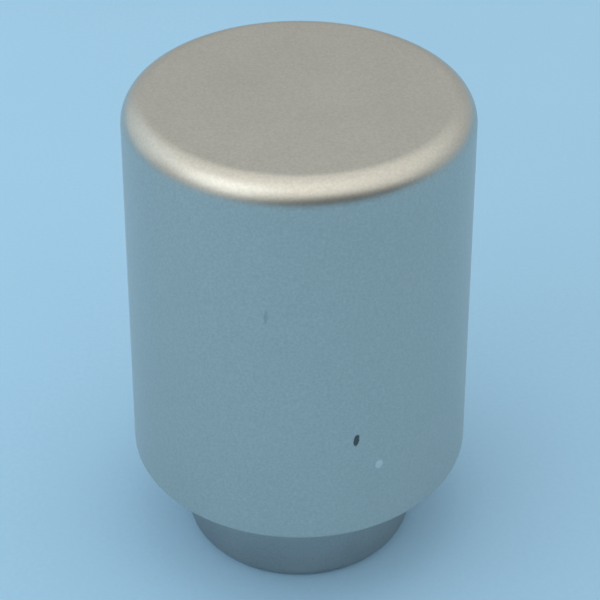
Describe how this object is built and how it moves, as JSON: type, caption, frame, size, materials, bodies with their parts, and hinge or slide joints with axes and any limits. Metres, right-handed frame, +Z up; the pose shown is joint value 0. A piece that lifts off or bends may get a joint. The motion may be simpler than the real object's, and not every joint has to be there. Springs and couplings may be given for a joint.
{
  "type": "selector knob",
  "caption": "Push-on selector knob: a satin silver cap with a rounded top edge over a slimmer collar, with a spring-held socket for a D-shaft.",
  "frame": {"origin": "centre of the collar's foot, on the shaft axis", "axes": "+Z up along the shaft axis towards the knob's top; the shaft's flat faces +X"},
  "size_m": [0.02, 0.02, 0.0292],
  "materials": {
    "silver_lacquer": "satin metallic silver lacquer on moulded plastic",
    "grey_plastic": "moulded silver-grey plastic, fine matt grain",
    "spring_steel": "bright rolled spring strip"
  },
  "bodies": {
    "root": {"knob_cap": "silver_lacquer", "hub_insert": "grey_plastic", "shaft_clip": "spring_steel"}
  },
  "joints": []
}
